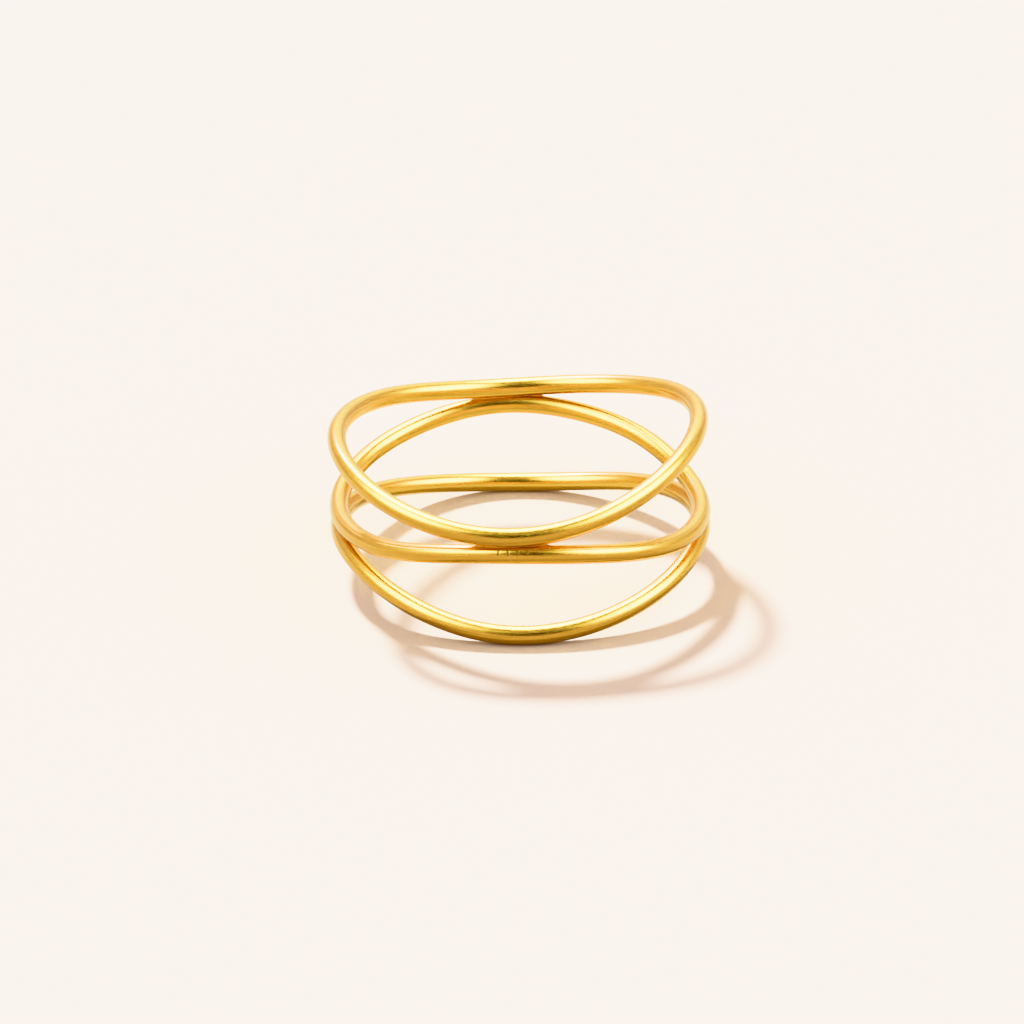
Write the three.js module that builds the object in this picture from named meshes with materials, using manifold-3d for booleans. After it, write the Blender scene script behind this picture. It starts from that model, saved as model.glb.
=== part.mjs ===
// Stackable ring: three wavy loops of round gold wire round one finger axis.
// Neighbouring loops meet crest to trough and are soldered there, so the ring is one solid.
// The ring lies on its side: the finger axis is vertical, the marked front faces -Y,
// and z = 0 is the surface that it rests on. All lengths are in millimetres.

import * as THREE from 'three';
import { mergeVertices } from 'three/addons/utils/BufferGeometryUtils.js';
import Module from 'manifold-3d';

// Driving dimensions
const fingerDiameter = 17.3;
const wireDiameter = 0.96;
const waveHeight = 0.9;

// Soldered wires are pressed a little into each other, and a drop of solder fills the crevice.
const solderSink = 0.01;
const solderLength = 3.6;
const solderDepth = 0.68;
const solderHeight = 0.8;

// Fineness of the mesh. With 4n + 2 sides the wire has a flat at its top and bottom,
// and with 4n steps round the finger a straight stretch is centred on each contact.
const stepsRound = 60;
const wireSides = 14;
const solderSides = 16;
const solderRings = 10;

// The loops from the floor up, in shares of the wave height. Each rises and falls twice round
// the finger.
//   wave   half of the height between its crests and troughs: above zero it is high at the
//          front and back, below zero it is high at the two sides
//   lean   how far its right side lies above its middle height
//   skew   how far it bulges out towards two of its diagonals, which makes it slightly oval
//   twist  how far its diagonals are bent, alternately up and down
//   front  the same bend, stronger at the front than at the back
//   side   the same bend, stronger at the right than at the left
//   lift   half of how far all its diagonals lie above an even wave
const loops = [
  { wave: -1.066, lean: 0, skew: 0.211, twist: -0.046, front: 0.006, side: -0.039, lift: 0.028 },
  { wave: 0.875, lean: 0, skew: 0.375, twist: -0.068, front: 0.08, side: -0.189, lift: -0.043 },
  { wave: -1.031, lean: 0.163, skew: -0.202, twist: 0.035, front: -0.042, side: -0.014, lift: 0.019 },
];

// Sizes that follow from these
const centreRadius = (fingerDiameter + wireDiameter) / 2;
const contactDistance = wireDiameter - solderSink;

// The flats of the faceted wire lie on the round wire's surface.
const sectionRadius = wireDiameter / 2 / Math.cos(Math.PI / wireSides);

// Each loop's crests carry the troughs of the loop above it.
let crestHeight = wireDiameter / 2 - contactDistance;
for (const loop of loops) {
  loop.level = crestHeight + contactDistance + Math.abs(loop.wave) * waveHeight;
  crestHeight = loop.level + Math.abs(loop.wave) * waveHeight;
}

const up = new THREE.Vector3(0, 0, 1);

// Centre line height at an angle round the finger, from the front towards the right.
// The bends fade out at the front, back, right and left, so that crests and troughs stay level.
function heightAt(loop, angle) {
  const bend = loop.twist + loop.front * Math.cos(angle) + loop.side * Math.sin(angle);
  const bends = bend * Math.sin(2 * angle) ** 3 + loop.lift * (1 - Math.cos(4 * angle));
  const rise = loop.wave * Math.cos(2 * angle) + loop.lean * Math.sin(angle);
  return loop.level + (rise + bends) * waveHeight;
}

function pointAt(radius, angle, height, target) {
  return target.set(radius * Math.sin(angle), -radius * Math.cos(angle), height);
}

// The centre line of one loop, stepped evenly by angle.
class WireLoop extends THREE.Curve {
  constructor(loop) {
    super();
    this.loop = loop;
  }

  getPoint(t, target = new THREE.Vector3()) {
    const angle = 2 * Math.PI * (t - 0.5 / stepsRound);
    const radius = centreRadius + this.loop.skew * waveHeight * Math.sin(2 * angle);
    return pointAt(radius, angle, heightAt(this.loop, angle), target);
  }

  getPointAt(u, target) {
    return this.getPoint(u, target);
  }

  getTangent(t, target = new THREE.Vector3()) {
    const step = 1e-4;
    return target.subVectors(this.getPoint(t + step), this.getPoint(t - step)).normalize();
  }

  // The section stays upright all the way round, so that it closes on itself untwisted.
  computeFrenetFrames(segments) {
    const frames = { tangents: [], normals: [], binormals: [] };
    for (let i = 0; i <= segments; i += 1) {
      const tangent = this.getTangent(i / segments);
      const inward = new THREE.Vector3().crossVectors(up, tangent).normalize();
      frames.tangents.push(tangent);
      frames.normals.push(inward);
      frames.binormals.push(new THREE.Vector3().crossVectors(tangent, inward));
    }
    return frames;
  }
}

function wireGeometry(loop) {
  return new THREE.TubeGeometry(new WireLoop(loop), stepsRound, sectionRadius, wireSides, true);
}

// A drop of solder in the crevice where the lower loop carries the upper one.
function solderGeometry(lower, angle) {
  const drop = new THREE.SphereGeometry(0.5, solderSides, solderRings);
  drop.scale(solderLength, solderDepth, solderHeight);
  drop.rotateZ(angle);
  const height = heightAt(lower, angle) + contactDistance / 2;
  const centre = pointAt(centreRadius, angle, height, new THREE.Vector3());
  drop.translate(centre.x, centre.y, centre.z);
  return drop;
}

// Solids
const wasm = await Module();
wasm.setup();

function solidFrom(geometry) {
  geometry.deleteAttribute('normal');
  geometry.deleteAttribute('uv');
  const merged = mergeVertices(geometry);
  const mesh = new wasm.Mesh({
    numProp: 3,
    vertProperties: new Float32Array(merged.attributes.position.array),
    triVerts: new Uint32Array(merged.index.array),
  });
  return new wasm.Manifold(mesh);
}

function geometryFrom(solid) {
  const mesh = solid.getMesh();
  const geometry = new THREE.BufferGeometry();
  geometry.setAttribute('position', new THREE.BufferAttribute(mesh.vertProperties, 3));
  geometry.setIndex(new THREE.BufferAttribute(mesh.triVerts, 1));
  geometry.computeVertexNormals();
  return geometry;
}

// A loop that is high at the front carries the next one at the front and back,
// and a loop that is high at the sides carries it at the right and left.
function contactAngles(loop) {
  const first = loop.wave > 0 ? 0 : Math.PI / 2;
  return [first, first + Math.PI];
}

function buildRing() {
  let ring = solidFrom(wireGeometry(loops[0]));
  for (let i = 1; i < loops.length; i += 1) {
    ring = ring.add(solidFrom(wireGeometry(loops[i])));
    for (const angle of contactAngles(loops[i - 1])) {
      ring = ring.add(solidFrom(solderGeometry(loops[i - 1], angle)));
    }
  }
  return geometryFrom(ring);
}

// The ring rests on the undersides of its lowest loop at the front and back.
const geometry = buildRing();
geometry.computeBoundingBox();
geometry.translate(0, 0, -geometry.boundingBox.min.z);

const gold = new THREE.MeshStandardMaterial({ color: 0xd8a648, roughness: 0.25, metalness: 1 });
const waveRing = new THREE.Mesh(geometry, gold);
waveRing.name = 'wave_ring';

const object = new THREE.Group();
object.add(waveRing);

export default object;
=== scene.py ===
"""Looks of the stackable ring: three wavy loops of round gold wire soldered into one band.

The fine surface of the wires, their solder fillets and the punched strokes are one mesh,
which stands for the CAD node wave_ring. Lengths in the tables are in millimetres.
"""

import math

import bmesh
import bpy
import numpy as np
from mathutils import Matrix, Vector


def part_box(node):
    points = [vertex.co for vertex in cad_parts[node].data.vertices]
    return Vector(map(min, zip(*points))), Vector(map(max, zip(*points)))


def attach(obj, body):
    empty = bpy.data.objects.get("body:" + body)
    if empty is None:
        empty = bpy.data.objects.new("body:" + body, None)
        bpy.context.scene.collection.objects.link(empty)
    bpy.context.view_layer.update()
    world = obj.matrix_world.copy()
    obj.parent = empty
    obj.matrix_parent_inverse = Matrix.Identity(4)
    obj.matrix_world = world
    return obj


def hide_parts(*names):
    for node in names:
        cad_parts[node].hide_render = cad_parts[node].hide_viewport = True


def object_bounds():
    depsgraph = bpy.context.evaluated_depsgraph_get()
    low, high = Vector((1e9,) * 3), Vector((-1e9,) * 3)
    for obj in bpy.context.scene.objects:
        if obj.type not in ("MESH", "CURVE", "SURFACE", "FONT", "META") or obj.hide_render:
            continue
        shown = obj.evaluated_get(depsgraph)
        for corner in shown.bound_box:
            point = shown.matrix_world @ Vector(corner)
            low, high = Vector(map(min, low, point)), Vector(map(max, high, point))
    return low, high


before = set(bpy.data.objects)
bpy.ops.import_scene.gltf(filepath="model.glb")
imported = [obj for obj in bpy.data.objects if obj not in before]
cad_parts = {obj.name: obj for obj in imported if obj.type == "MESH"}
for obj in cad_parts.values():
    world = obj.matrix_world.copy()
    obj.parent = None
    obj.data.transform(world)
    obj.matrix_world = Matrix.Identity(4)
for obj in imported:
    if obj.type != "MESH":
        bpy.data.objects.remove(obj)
cad_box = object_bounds()

MM = 0.001
NODE = "wave_ring"

# The ring's sizes, as in the part's source
FINGER_DIAMETER = 17.3
WIRE_DIAMETER = 0.96
WAVE_HEIGHT = 0.9
SOLDER_SINK = 0.01
WIRE_RADIUS = WIRE_DIAMETER / 2
CENTRE_RADIUS = (FINGER_DIAMETER + WIRE_DIAMETER) / 2
CONTACT_DISTANCE = WIRE_DIAMETER - SOLDER_SINK
# The loops from the floor up, in shares of the wave height
LOOPS = [
    dict(wave=-1.066, lean=0, skew=0.211, twist=-0.046, front=0.006, side=-0.039, lift=0.028),
    dict(wave=0.875, lean=0, skew=0.375, twist=-0.068, front=0.08, side=-0.189, lift=-0.043),
    dict(wave=-1.031, lean=0.163, skew=-0.202, twist=0.035, front=-0.042, side=-0.014, lift=0.019),
]

# Solder joints: the lower loop, the angle from the front, how far along the wire the middle
# of the solder lies from there, half its length and half the width of its neck
JOINTS = [
    dict(lower=0, angle=90, shift=0.0, reach=1.6, neck=0.16),
    dict(lower=0, angle=270, shift=0.1, reach=1.5, neck=0.16),
    dict(lower=1, angle=0, shift=-0.41, reach=1.75, neck=0.11),
    dict(lower=1, angle=180, shift=0.5, reach=1.75, neck=0.12),
]
# How the neck narrows towards the solder's ends
NECK_TAPER = 0.75
# Past its ends the solder thins out on the wires, and past that their hand bending fades in
MENISCUS = 0.5
BENDING_RAMP = 0.6
# The solder's tint reaches full strength this far inside the fillet's edge, and fades over it
SOLDER_CORE = 1.3
SOLDER_FADE = 0.9

# Hand bending: waves round the finger and round the wire, and the strength of a long one
BENDING_WAVES = [(5, 0), (9, 1), (13, 2), (21, 1), (29, 2), (37, 3)]
BENDING_STRENGTH = 0.0022
BENDING_SEED = 20

# Fineness of the mesh: steps round the finger, finer steps where the strokes are, and degrees
# between the points round the wire, by place
STEPS_ROUND = 360
FINE_STEPS = 7
FINE_FROM, FINE_TO = -9, 5
COARSE_DEG = 8.0
FILLET_DEG = 4.0
FILLET_HALF_DEG = 40.0
MARK_DEG = 2.4
MARK_MARGIN_DEG = 6
# Points closer than this, in metres, are one
WELD_DISTANCE = 2e-7
# Space between the three wires' surfaces on the flat map of the finish
MAP_SPACING = 5.0

# Punched strokes on the upper front of the middle loop: places along the wire and round it
MARK_MIDDLE = -0.4
MARK_LENGTH = 1.85
MARK_ANGLE = 38.0
STROKES = 4
STROKE_WIDTH = 0.14
STROKE_HEIGHT = 0.36
STROKE_DEPTH = 0.004
# How abruptly a stroke ends at its top and bottom
STROKE_END = 4


def set_levels():
    """Stack the loops: each one's crests carry the troughs of the next."""
    crest_height = WIRE_RADIUS - CONTACT_DISTANCE
    for loop in LOOPS:
        loop["level"] = crest_height + CONTACT_DISTANCE + abs(loop["wave"]) * WAVE_HEIGHT
        crest_height = loop["level"] + abs(loop["wave"]) * WAVE_HEIGHT


def centre_line(loop, angle):
    """Radius and height of a loop's centre line at angles round the finger."""
    diagonal = np.sin(2 * angle)
    bend = loop["twist"] + loop["front"] * np.cos(angle) + loop["side"] * np.sin(angle)
    bends = bend * diagonal ** 3 + loop["lift"] * (1 - np.cos(4 * angle))
    rise = loop["wave"] * np.cos(2 * angle) + loop["lean"] * np.sin(angle)
    radius = CENTRE_RADIUS + loop["skew"] * WAVE_HEIGHT * diagonal
    return np.stack([radius, loop["level"] + (rise + bends) * WAVE_HEIGHT], -1)


def station_angles():
    """Angles of the sections, closer together where the strokes are punched."""
    step = 2 * math.pi / STEPS_ROUND
    fine = np.arange(FINE_FROM * FINE_STEPS, FINE_TO * FINE_STEPS) * step / FINE_STEPS
    coarse = np.arange(FINE_TO, STEPS_ROUND + FINE_FROM) * step
    return np.concatenate([fine, coarse])


def section_angles(index):
    """Directions round the wire, 0 outwards and 90 up, closer together at solder and strokes."""
    zones = []
    if index == 1:
        mark_half = math.degrees(STROKE_HEIGHT / WIRE_RADIUS) / 2 + MARK_MARGIN_DEG
        zones.append((MARK_ANGLE - mark_half, 90 - FILLET_HALF_DEG, MARK_DEG))
    if index < 2:
        zones.append((90 - FILLET_HALF_DEG, 90 + FILLET_HALF_DEG, FILLET_DEG))
    if index > 0:
        zones.append((270 - FILLET_HALF_DEG, 270 + FILLET_HALF_DEG, FILLET_DEG))
    edges = [0.0]
    for low, high, spacing in zones:
        count = max(1, round((low - edges[-1]) / COARSE_DEG))
        edges += list(np.linspace(edges[-1], low, count + 1)[1:])
        count = max(1, round((high - low) / spacing))
        edges += list(np.linspace(low, high, count + 1)[1:])
    count = round((360 - edges[-1]) / COARSE_DEG)
    edges += list(np.linspace(edges[-1], 360, count + 1)[1:-1])
    return np.radians(np.array(edges))


def unit(vectors):
    return vectors / np.linalg.norm(vectors, axis=-1, keepdims=True)


def hand_bending(index, angle, around):
    """Small unevenness of a wire drawn, bent and polished by hand."""
    draws = np.random.default_rng(BENDING_SEED + index)
    longest = BENDING_WAVES[0][0]
    total = 0.0
    for turns, round_wire in BENDING_WAVES:
        phase, spin = draws.uniform(0, 2 * math.pi, 2)
        strength = BENDING_STRENGTH * longest ** 0.5 / turns ** 0.5
        wave = np.sin(turns * angle + phase) * np.cos(round_wire * around + spin)
        total = total + strength * wave
    return total


def stroke_share(along, around):
    """The punched strokes, 1 at their deepest: a row of plain upright cuts."""
    pitch = MARK_LENGTH / STROKES
    start = MARK_MIDDLE - MARK_LENGTH / 2
    number = np.clip(np.floor((along - start) / pitch), 0, STROKES - 1)
    middle = start + (number + 0.5) * pitch
    across = np.clip(1 - np.abs(along - middle) / (STROKE_WIDTH / 2), 0, 1)
    rise = np.abs(around - math.radians(MARK_ANGLE)) * WIRE_RADIUS
    return across * np.clip((1 - rise / (STROKE_HEIGHT / 2)) * STROKE_END, 0, 1)


def wrapped(angle):
    """An angle brought to between minus and plus half a turn."""
    return (angle + math.pi) % (2 * math.pi) - math.pi


def joint_of(index, angle):
    """The joint that a section of a loop lies at, and the section's place along its solder."""
    for joint in JOINTS:
        if index not in (joint["lower"], joint["lower"] + 1):
            continue
        place = wrapped(angle - math.radians(joint["angle"])) * CENTRE_RADIUS - joint["shift"]
        if abs(place) < joint["reach"] + MENISCUS + BENDING_RAMP:
            return joint, place
    return None, None


def build_sections():
    """Points of every section in the plane of the finger axis, with the necks of solder found."""
    stations = station_angles()
    centres = [centre_line(loop, stations) for loop in LOOPS]
    around = [section_angles(i) for i in range(len(LOOPS))]
    count = len(stations)
    points = []
    solder = []
    strokes = None
    necks = [[None] * count for _ in LOOPS]
    delta = 1e-4
    for i, loop in enumerate(LOOPS):
        ahead = centre_line(loop, stations + delta)
        slope = (ahead - centre_line(loop, stations - delta)) / (2 * delta)
        tangent = unit(np.stack([slope[:, 0], centres[i][:, 0], slope[:, 1]], -1))
        direction = np.stack([np.cos(around[i]), np.sin(around[i])], -1)
        along = tangent[:, [0, 2]] @ direction.T
        size = WIRE_RADIUS / np.sqrt(1 - along ** 2)
        free = np.ones(count)
        for k, angle in enumerate(stations):
            joint, place = joint_of(i, angle)
            if joint:
                past = abs(place) - joint["reach"] - MENISCUS
                free[k] = np.clip(past / BENDING_RAMP, 0, 1)
        size = size + hand_bending(i, stations[:, None], around[i][None, :]) * free[:, None]
        if i == 1:
            place = wrapped(stations)[:, None] * CENTRE_RADIUS
            strokes = stroke_share(place, around[i][None, :])
            size = size - STROKE_DEPTH * strokes
        points.append(centres[i][:, None, :] + size[:, :, None] * direction[None, :, :])
        solder.append(np.zeros((count, len(around[i]))))
    for joint in JOINTS:
        plans = neck_plans(joint, stations, centres, around)
        shape_joint(joint, plans, centres, around, points, solder, necks)
    return stations, around, points, solder, strokes, necks


def neck_plans(joint, stations, centres, around):
    """The solder's neck at each section of a joint, in order along the solder.

    Where it has a neck, both loops need a section point on each side of it.
    """
    lower, upper = joint["lower"], joint["lower"] + 1
    plans = []
    for k, angle in enumerate(stations):
        found, place = joint_of(lower, angle)
        if found is not joint:
            continue
        gap = centres[upper][k] - centres[lower][k]
        distance = float(np.linalg.norm(gap))
        axis = gap / distance
        side = np.array([axis[1], -axis[0]])
        neck = joint["neck"] * max(0.0, 1 - (place / joint["reach"]) ** 2) ** NECK_TAPER
        middle = (centres[lower][k] + centres[upper][k]) / 2
        snaps = {}
        fits = neck > 0
        for index in (lower, upper):
            snap = []
            for end in (+1, -1):
                spot = middle + end * neck * side - centres[index][k]
                aim = math.atan2(spot[1], spot[0])
                snap.append((int(np.argmin(np.abs(wrapped(around[index] - aim)))), end))
            snap.sort()
            snaps[index] = snap
            fits = fits and snap[0][0] < snap[1][0]
        plans.append(dict(section=k, place=place, distance=distance, neck=neck, fits=fits,
                          middle=middle, side=side, axis=axis, snaps=snaps))
    return sorted(plans, key=lambda plan: plan["place"])


def fillet_reach(plan, neck, turn):
    """Distance from a wire's centre to the solder, by angle from the other wire's direction."""
    half = plan["distance"] / 2
    radius = (neck ** 2 + half ** 2 - WIRE_RADIUS ** 2) / (2 * (WIRE_RADIUS - neck))
    if radius <= 0:
        return np.full_like(turn, WIRE_RADIUS), 0.0
    across = neck + radius
    middle = across * np.sin(np.abs(turn)) + half * np.cos(turn)
    rest = WIRE_RADIUS ** 2 + 2 * WIRE_RADIUS * radius
    reach = middle - np.sqrt(np.maximum(middle ** 2 - rest, 0))
    tangent = math.atan2(across, half)
    return np.where(np.abs(turn) < tangent, reach, WIRE_RADIUS), tangent


def shape_joint(joint, plans, centres, around, points, solder, necks):
    """Pull the two wires' sections out onto the solder and mark where they join."""
    fitting = [n for n, plan in enumerate(plans) if plan["fits"]]
    first, last = fitting[0], fitting[-1]
    low_end = plans[first - 1]["place"]
    high_end = plans[last + 1]["place"]
    for n, plan in enumerate(plans):
        k = plan["section"]
        inside = first <= n <= last
        pinch = n in (first - 1, last + 1)
        past = max(low_end - plan["place"], plan["place"] - high_end, 0.0)
        fade = max(0.0, 1 - past / MENISCUS) ** 2
        neck = plan["neck"] if inside else 0.0
        for index in plan["snaps"]:
            toward = plan["axis"] if index == joint["lower"] else -plan["axis"]
            heading = math.atan2(toward[1], toward[0])
            turn = wrapped(around[index] - heading)
            reach, tangent = fillet_reach(plan, neck, turn)
            spokes = points[index][k] - centres[index][k]
            ratio = 1 + (reach / WIRE_RADIUS - 1) * fade
            points[index][k] = centres[index][k] + spokes * ratio[:, None]
            if tangent > 0:
                share = SOLDER_CORE - np.abs(turn) / tangent * SOLDER_FADE
                solder[index][k] = np.clip(share, 0, 1) * fade
            if inside:
                for column, end in plan["snaps"][index]:
                    points[index][k, column] = plan["middle"] + end * neck * plan["side"]
                necks[index][k] = (plan["snaps"][index][0][0], plan["snaps"][index][1][0])
            elif pinch:
                column = int(np.argmin(np.abs(turn)))
                points[index][k, column] = plan["middle"]
                necks[index][k] = (column, column)


def strip_faces(here, there, width, neck_here, neck_there):
    """Faces between two neighbouring sections, leaving out the inside of a solder neck."""
    faces = []
    if neck_here is None or neck_there is None or neck_here[0] == neck_here[1] == neck_there[0]:
        for j in range(width):
            faces.append((here + j, here + (j + 1) % width, there + (j + 1) % width, there + j))
        return faces
    start_here, end_here = neck_here[1], neck_here[0] + width
    start_there, end_there = neck_there[1], neck_there[0] + width
    start = max(start_here, start_there)
    end = min(end_here, end_there)
    for j in range(start_here, start):
        faces.append((here + j % width, here + (j + 1) % width, there + start % width))
    for j in range(start_there, start):
        faces.append((here + start % width, there + (j + 1) % width, there + j % width))
    for j in range(start, end):
        low, high = j % width, (j + 1) % width
        faces.append((here + low, here + high, there + high, there + low))
    for j in range(end, end_here):
        faces.append((here + j % width, here + (j + 1) % width, there + end % width))
    for j in range(end, end_there):
        faces.append((here + end % width, there + (j + 1) % width, there + j % width))
    return faces


def ring_mesh():
    """The ring's mesh: a map of lengths along and round the wire, and its solder and strokes."""
    stations, around, points, solder, strokes, necks = build_sections()
    count = len(stations)
    vertices = []
    faces = []
    lengths = []
    shares = []
    marks = []
    base = 0
    for i in range(len(LOOPS)):
        width = len(around[i])
        radius = points[i][:, :, 0]
        x = radius * np.sin(stations)[:, None]
        y = -radius * np.cos(stations)[:, None]
        vertices.append(np.stack([x, y, points[i][:, :, 1]], -1).reshape(-1, 3))
        run = np.repeat(stations[:, None] * CENTRE_RADIUS, width, 1)
        girth = np.repeat(around[i][None, :] * WIRE_RADIUS, count, 0) + MAP_SPACING * i
        lengths.append(np.stack([run, girth], -1).reshape(-1, 2))
        shares.append(solder[i].reshape(-1))
        marks.append(strokes.reshape(-1) if i == 1 else np.zeros(count * width))
        for k in range(count):
            after = (k + 1) % count
            here, there = base + k * width, base + after * width
            faces += strip_faces(here, there, width, necks[i][k], necks[i][after])
        base += count * width
    fields = {"solder": np.concatenate(shares), "mark": np.concatenate(marks)}
    return np.concatenate(vertices), faces, np.concatenate(lengths), fields


def add_ring(material):
    vertices, faces, lengths, fields = ring_mesh()
    floor_gap = vertices[:, 2].min()
    vertices = vertices * MM
    vertices[:, 2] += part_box(NODE)[0][2] - floor_gap * MM
    mesh = bpy.data.meshes.new("wave_ring_gold")
    mesh.from_pydata([tuple(v) for v in vertices], [], faces)
    corners = np.empty(len(mesh.loops), dtype=np.int32)
    mesh.loops.foreach_get("vertex_index", corners)
    chart = mesh.uv_layers.new(name="wire")
    mapped = lengths[corners].copy()
    starts = np.array([p.loop_start for p in mesh.polygons])
    sizes = np.array([p.loop_total for p in mesh.polygons])
    owner = np.repeat(np.arange(len(starts)), sizes)
    for axis, period in ((0, 2 * math.pi * CENTRE_RADIUS), (1, 2 * math.pi * WIRE_RADIUS)):
        lead = mapped[starts, axis][owner]
        mapped[:, axis] -= period * np.round((mapped[:, axis] - lead) / period)
    chart.data.foreach_set("uv", mapped.astype(np.float32).ravel())
    for name, values in fields.items():
        layer = mesh.attributes.new(name, "FLOAT", "POINT")
        layer.data.foreach_set("value", values.astype(np.float32))
    mesh.materials.append(material)
    mesh.polygons.foreach_set("use_smooth", [True] * len(mesh.polygons))
    ring = bpy.data.objects.new("wave_ring_gold", mesh)
    bpy.context.scene.collection.objects.link(ring)
    weld(mesh)
    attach(ring, "root")
    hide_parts(NODE)


def weld(mesh):
    """Join the two halves of each solder neck and drop the points inside it."""
    work = bmesh.new()
    work.from_mesh(mesh)
    loose = [v for v in work.verts if not v.link_faces]
    bmesh.ops.delete(work, geom=loose, context="VERTS")
    rim = [v for v in work.verts if any(e.is_boundary for e in v.link_edges)]
    bmesh.ops.remove_doubles(work, verts=rim, dist=WELD_DISTANCE)
    bmesh.ops.recalc_face_normals(work, faces=work.faces)
    open_edges = sum(1 for e in work.edges if not e.is_manifold)
    work.to_mesh(mesh)
    print("ring mesh: vertices", len(work.verts), "faces", len(work.faces), "open edges", open_edges)
    work.free()


class Nodes:
    """Short names for building a node tree."""

    def __init__(self, tree):
        self.tree = tree
        tree.nodes.clear()

    def add(self, kind, inputs=None, **settings):
        node = self.tree.nodes.new(kind)
        for name, value in settings.items():
            setattr(node, name, value)
        for name, value in (inputs or {}).items():
            if isinstance(value, bpy.types.NodeSocket):
                self.tree.links.new(value, node.inputs[name])
            else:
                node.inputs[name].default_value = value
        return node

    def ramp(self, value, stops):
        """A colour that changes with a value, by stops of a place and a colour."""
        node = self.add("ShaderNodeValToRGB", {"Fac": value})
        elements = node.color_ramp.elements
        while len(elements) < len(stops):
            elements.new(1.0)
        for element, (position, tone) in zip(elements, stops):
            element.position = position
            element.color = (*tone, 1.0)
        return node.outputs["Color"]

    def between(self, value, low, high, first, last):
        """A value's range drawn onto another range."""
        span = {"Value": value, "From Min": low, "From Max": high, "To Min": first, "To Max": last}
        return self.add("ShaderNodeMapRange", span).outputs["Result"]

    def sum_of(self, value, times, more):
        """A value times a number, plus another value."""
        terms = {0: value, 1: times, 2: more}
        return self.add("ShaderNodeMath", terms, operation="MULTIPLY_ADD").outputs[0]

    def noise(self, vector, scale, detail=1.0, **more):
        """Smooth uneven values between 0 and 1."""
        inputs = {"Vector": vector, "Scale": scale, "Detail": detail, **more}
        return self.add("ShaderNodeTexNoise", inputs).outputs["Fac"]

    def mixed(self, share, first, second):
        """One colour turning into another by a share."""
        inputs = {"Factor": share, 6: first, 7: second}
        return self.add("ShaderNodeMix", inputs, data_type="RGBA").outputs[2]

    def surface(self, look):
        """The shader of a material, from its inputs."""
        shader = self.add("ShaderNodeBsdfPrincipled", look)
        self.add("ShaderNodeOutputMaterial", {"Surface": shader.outputs["BSDF"]})


# Gold: its tones by cloudy wear, the solder's by its pits, and in the strokes polish residue with
# painted shade of the cuts
GOLD_TONES = [(0.3, (0.68, 0.365, 0.07)), (0.72, (0.72, 0.395, 0.082))]
SOLDER_TONES = [(0.62, (0.68, 0.31, 0.045)), (0.7, (0.2, 0.08, 0.012))]
# The strokes' dark tone is partly polish residue and partly painted shade, as the cuts are too
# shallow to shade themselves
POLISH_AND_CUT_SHADE = (0.16, 0.065, 0.012, 1.0)
POLISH_AND_CUT_SHADE_SHARE = 0.9
# The polish residue and painted shade grow over this part of a stroke's depth
POLISH_AND_CUT_SHADE_RANGE = (0.05, 0.6)
# Roughness between and on the fine lines, and what solder and strokes add to it
GOLD_ROUGHNESS = (0.2, 0.27)
SOLDER_ROUGHER = 0.08
STROKES_ROUGHER = 0.2
# Patterns by the metre, and the fine lines by the millimetre along and round the wire
CLOUDS_SCALE = 420.0
GRAIN_SCALE = 6000.0
PITS_SCALE = 3400.0
LINES_STRETCH = (0.35, 14.0, 1.0)
LINES_SCALE = 3.0
LINES_RANGE = (0.3, 0.7)
GRAIN_HEIGHT = 0.2
GOLD_BUMP = 0.02
BUMP_DISTANCE = 0.00002


def gold_material():
    material = bpy.data.materials.new("polished_gold")
    material.use_nodes = True
    n = Nodes(material.node_tree)
    chart = n.add("ShaderNodeUVMap", uv_map="wire").outputs["UV"]
    place = n.add("ShaderNodeTexCoord").outputs["Object"]
    share = n.add("ShaderNodeAttribute", attribute_name="solder").outputs["Fac"]
    mark = n.add("ShaderNodeAttribute", attribute_name="mark").outputs["Fac"]

    # Fine lines along the wire, left by drawing and polishing
    stretch = {"Vector": chart, "Scale": LINES_STRETCH}
    stretched = n.add("ShaderNodeMapping", stretch).outputs["Vector"]
    lines = n.noise(stretched, LINES_SCALE, 4.0, Roughness=0.6)
    # Soft cloudy wear and small scratches
    cloud = n.noise(place, CLOUDS_SCALE, 3.0)
    grain = n.noise(place, GRAIN_SCALE)

    tone = n.ramp(cloud, GOLD_TONES)
    # Solder is a little redder, with a few dark pits
    solder_tone = n.ramp(n.noise(place, PITS_SCALE), SOLDER_TONES)
    plain = n.mixed(share, tone, solder_tone)
    # Polish residue and painted shade of the cuts darken the strokes
    polish_and_cut_shade = n.between(mark, *POLISH_AND_CUT_SHADE_RANGE, 0.0, POLISH_AND_CUT_SHADE_SHARE)
    colour = n.mixed(polish_and_cut_shade, plain, POLISH_AND_CUT_SHADE)

    polish = n.between(lines, *LINES_RANGE, *GOLD_ROUGHNESS)
    worn = n.sum_of(share, SOLDER_ROUGHER, n.sum_of(mark, STROKES_ROUGHER, polish))
    height = n.sum_of(grain, GRAIN_HEIGHT, lines)
    relief = {"Height": height, "Strength": GOLD_BUMP, "Distance": BUMP_DISTANCE}
    normal = n.add("ShaderNodeBump", relief).outputs["Normal"]
    n.surface({"Base Color": colour, "Metallic": 1.0, "Roughness": worn, "Normal": normal})
    return material


# The surface below: its tones by its grain
FLOOR_TONES = [(0.35, (0.895, 0.85, 0.82)), (0.65, (0.925, 0.875, 0.845))]
FLOOR_GRAIN_SCALE = 5200.0
FLOOR_BUMP = 0.15
FLOOR_ROUGHNESS = 0.8
FLOOR_HALF = 1.5
# Share of its brightness that the surface has in the metal, in front of the ring and behind it
FLOOR_MIRRORED = [(0.0, (0.55, 0.57, 0.58)), (1.0, (0.82, 1.0, 1.05))]
FLOOR_MIRRORED_REACH = 0.012


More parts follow.
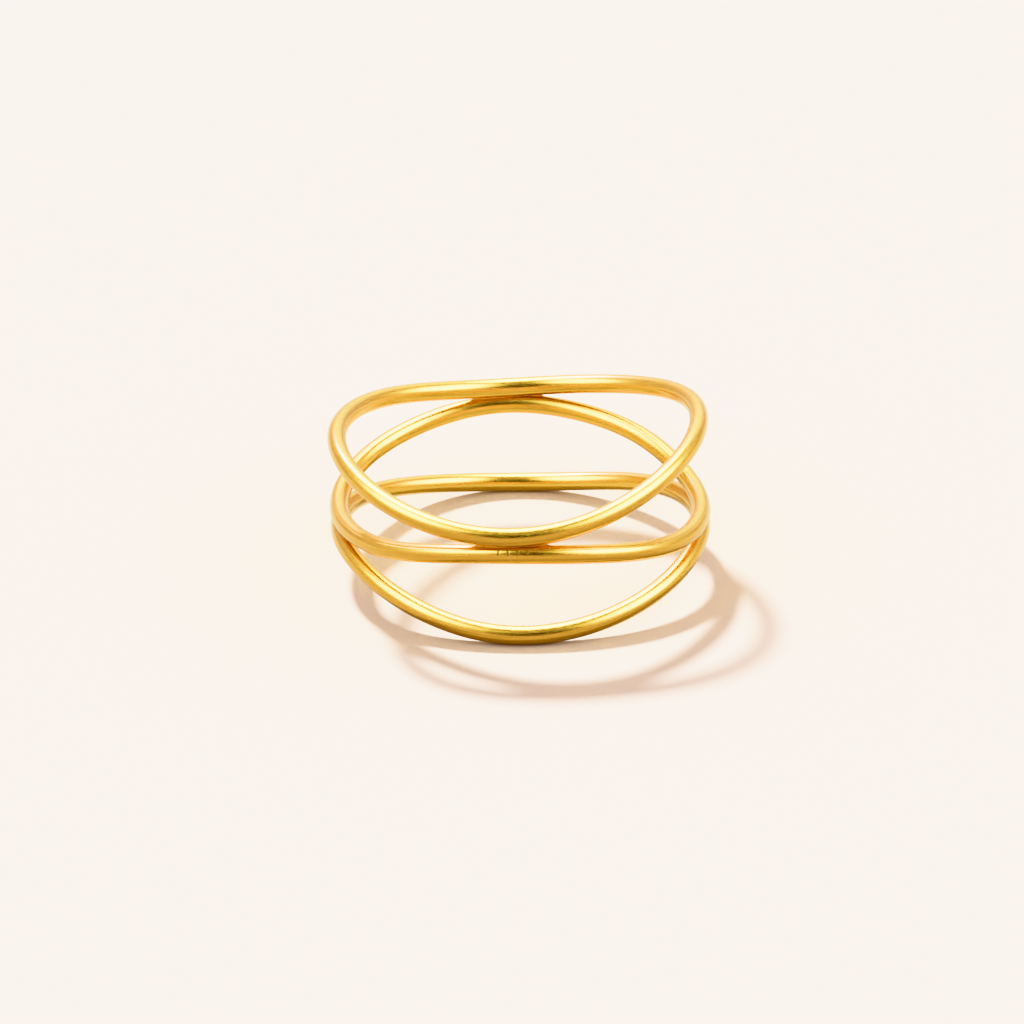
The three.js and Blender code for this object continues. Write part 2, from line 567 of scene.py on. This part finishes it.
def floor_material():
    material = bpy.data.materials.new("pale_plaster")
    material.use_nodes = True
    n = Nodes(material.node_tree)
    place = n.add("ShaderNodeTexCoord").outputs["Object"]
    grain = n.noise(place, FLOOR_GRAIN_SCALE, 3.0)
    tone = n.ramp(grain, FLOOR_TONES)
    # The metal mirrors the surface darker than the eye sees it, most of all in front of the ring
    mirrored = n.add("ShaderNodeLightPath").outputs["Is Glossy Ray"]
    depth = n.add("ShaderNodeSeparateXYZ", {0: place}).outputs["Y"]
    behind = n.between(depth, -FLOOR_MIRRORED_REACH, FLOOR_MIRRORED_REACH, 0.0, 1.0)
    share = n.ramp(behind, FLOOR_MIRRORED)
    dimmed = n.add("ShaderNodeVectorMath", {0: tone, 1: share}, operation="MULTIPLY").outputs[0]
    relief = {"Height": grain, "Strength": FLOOR_BUMP, "Distance": BUMP_DISTANCE}
    look = {"Base Color": n.mixed(mirrored, tone, dimmed), "Roughness": FLOOR_ROUGHNESS}
    look["Specular IOR Level"] = 0.0
    look["Normal"] = n.add("ShaderNodeBump", relief).outputs["Normal"]
    n.surface(look)
    return material


def add_floor():
    half = FLOOR_HALF
    mesh = bpy.data.meshes.new("floor")
    corners = [(-half, -half, 0), (half, -half, 0), (half, half, 0), (-half, half, 0)]
    mesh.from_pydata(corners, [], [(0, 1, 2, 3)])
    mesh.materials.append(floor_material())
    floor = bpy.data.objects.new("floor", mesh)
    floor.location.z = cad_box[0][2]
    bpy.context.scene.collection.objects.link(floor)


# Camera: the photo's angle, with a long lens
CAMERA_ELEVATION = 24.944
CAMERA_ROLL = -1.451
CAMERA_DISTANCE = 417.3
FOCAL_PIXELS = 8226.0
IMAGE_PIXELS = 1024.0
SENSOR = 36.0
# Pixel of the photo where the finger axis passes the bottom loop's middle height
AXIS_PIXEL = (520.6, 540.0)


def add_camera():
    elevation = math.radians(CAMERA_ELEVATION)
    roll = math.radians(CAMERA_ROLL)
    flat_right = Vector((1, 0, 0))
    flat_up = Vector((0, math.sin(elevation), math.cos(elevation)))
    forward = Vector((0, math.cos(elevation), -math.sin(elevation)))
    right = math.cos(roll) * flat_right + math.sin(roll) * flat_up
    up = -math.sin(roll) * flat_right + math.cos(roll) * flat_up
    per_pixel = CAMERA_DISTANCE / FOCAL_PIXELS
    off_right = (AXIS_PIXEL[0] - IMAGE_PIXELS / 2) * per_pixel
    off_up = -(AXIS_PIXEL[1] - IMAGE_PIXELS / 2) * per_pixel
    target = Vector((0, 0, LOOPS[0]["level"]))
    place = target - off_right * right - off_up * up - CAMERA_DISTANCE * forward
    data = bpy.data.cameras.new("camera")
    data.sensor_width = SENSOR
    data.lens = FOCAL_PIXELS / IMAGE_PIXELS * SENSOR
    data.clip_start = 0.01
    data.clip_end = 10.0
    camera = bpy.data.objects.new("camera", data)
    turn = Matrix((right, up, -forward)).transposed().to_4x4()
    camera.matrix_world = Matrix.Translation(place * MM) @ turn
    bpy.context.scene.collection.objects.link(camera)
    bpy.context.scene.camera = camera


# The sun: soft, from behind on the left. Its azimuth runs from the front towards the left.
SUN_AZIMUTH = 158.5
SUN_ELEVATION = 42.3
SUN_ENERGY = 6.2
SUN_ANGLE = 7.0
SUN_COLOUR = (0.865, 0.97, 1.0)


def add_sun():
    data = bpy.data.lights.new("sun", "SUN")
    data.energy = SUN_ENERGY
    data.angle = math.radians(SUN_ANGLE)
    data.color = SUN_COLOUR
    sun = bpy.data.objects.new("sun", data)
    azimuth = math.radians(SUN_AZIMUTH)
    elevation = math.radians(SUN_ELEVATION)
    flat = math.cos(elevation)
    toward = Vector((-math.sin(azimuth) * flat, -math.cos(azimuth) * flat, math.sin(elevation)))
    sun.rotation_euler = toward.to_track_quat("Z", "Y").to_euler()
    bpy.context.scene.collection.objects.link(sun)


def soft_patch(n, direction, aim, inner, outer):
    """A round patch of the sky: 1 within the inner angle from the aim, 0 past the outer one."""
    azimuth, elevation = (math.radians(a) for a in aim)
    flat = math.cos(elevation)
    toward = (math.sin(azimuth) * flat, -math.cos(azimuth) * flat, math.sin(elevation))
    pair = {0: direction, 1: toward}
    near = n.add("ShaderNodeVectorMath", pair, operation="DOT_PRODUCT").outputs["Value"]
    low, high = (math.cos(math.radians(angle)) for angle in (outer, inner))
    edges = {"Value": near, "From Min": low, "From Max": high}
    return n.add("ShaderNodeMapRange", edges, interpolation_type="SMOOTHSTEP").outputs["Result"]


# The bright room and its darker places that the metal mirrors, by aim (azimuth from the front
# towards the right, and elevation), inner and outer angle from it, and strength
TENT_LIGHTS = [
    ((190, 62), 4, 22, 31.0),
    ((-68, 49), 5, 28, 13.0),
    ((73, 43), 6, 30, 16.0),
    ((172, 36), 5, 30, 1.5),
    ((-60, 8), 10, 40, 0.22),
    ((65, 8), 10, 40, 0.22),
]
TENT_SHADES = [
    ((0, 34), 11, 25, 0.95),
    ((-3, 70), 12, 32, 0.5),
]
# The room's tint by its brightness, as a share of the full one
TENT_FULL = 24.0
TENT_TINTS = [
    (0.0, (0.98, 0.6, 0.5)),
    (0.02, (0.98, 0.72, 0.7)),
    (0.042, (0.98, 0.95, 1.03)),
    (0.09, (0.98, 1.28, 1.28)),
    (0.35, (0.98, 1.58, 1.38)),
    (1.0, (0.98, 1.64, 1.42)),
]
# The plain light that falls on the surface below
FILL_COLOUR = (0.88, 0.71, 0.62, 1.0)


def add_world():
    """The room: a plain warm fill for the floor, and the light tent that the metal mirrors."""
    world = bpy.data.worlds.new("studio")
    bpy.context.scene.world = world
    world.cycles.sampling_method = "NONE"
    world.use_nodes = True
    n = Nodes(world.node_tree)
    direction = n.add("ShaderNodeTexCoord").outputs["Generated"]
    value = 1.0
    for aim, inner, outer, strength in TENT_LIGHTS:
        value = n.sum_of(soft_patch(n, direction, aim, inner, outer), strength, value)
    for aim, inner, outer, strength in TENT_SHADES:
        left = n.sum_of(soft_patch(n, direction, aim, inner, outer), -strength, 1.0)
        value = n.sum_of(value, left, 0.0)
    tint = n.ramp(n.between(value, 0.0, TENT_FULL, 0.0, 1.0), TENT_TINTS)
    tent = n.add("ShaderNodeBackground", {"Color": tint, "Strength": value})
    fill = n.add("ShaderNodeBackground", {"Color": FILL_COLOUR})
    mirrored = n.add("ShaderNodeLightPath").outputs["Is Glossy Ray"]
    both = n.add("ShaderNodeMixShader", {0: mirrored, 1: fill.outputs[0], 2: tent.outputs[0]})
    n.add("ShaderNodeOutputWorld", {"Surface": both.outputs[0]})


set_levels()
add_ring(gold_material())
add_floor()
add_camera()
add_sun()
add_world()

scene = bpy.context.scene
scene.view_settings.view_transform = "Khronos PBR Neutral"
